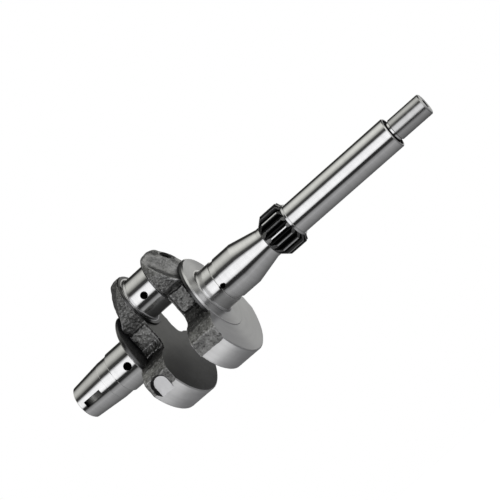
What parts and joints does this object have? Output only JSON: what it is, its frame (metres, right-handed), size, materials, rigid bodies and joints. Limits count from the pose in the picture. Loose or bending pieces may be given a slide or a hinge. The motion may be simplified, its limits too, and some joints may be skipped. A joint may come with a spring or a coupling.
{
  "type": "crankshaft",
  "caption": "Forged crankshaft of a small engine, with a taper for the flywheel, ground journals, two webs with counterweights, a timing gear and a long output shaft.",
  "frame": {"origin": "on the main axis, at the middle plane of the crankpin", "axes": "+X along the main axis towards the output end, +Z from the main axis to the crankpin"},
  "size_m": [0.3669, 0.0984, 0.116],
  "materials": {
    "ground_steel": "ground and polished journal",
    "turned_steel": "fine turned",
    "forged_steel": "shot-blasted forging skin",
    "gear_steel": "hobbed teeth, oiled",
    "plug_steel": "pressed plug"
  },
  "bodies": {
    "root": {"flywheel_taper": "ground_steel", "front_seal_land": "ground_steel", "front_main_journal": "ground_steel", "front_thrust_disc": "turned_steel", "front_web": "forged_steel", "front_counterweight": "turned_steel", "front_rod_thrust_face": "turned_steel", "front_gallery_plug": "plug_steel", "crankpin": "ground_steel", "rear_rod_thrust_face": "turned_steel", "rear_gallery_plug": "plug_steel", "rear_web": "forged_steel", "rear_counterweight": "turned_steel", "rear_thrust_disc": "turned_steel", "rear_main_journal": "ground_steel", "journal_cone": "ground_steel", "gear_neck": "ground_steel", "timing_gear": "gear_steel", "output_shaft": "ground_steel", "output_spigot": "turned_steel"}
  },
  "joints": []
}
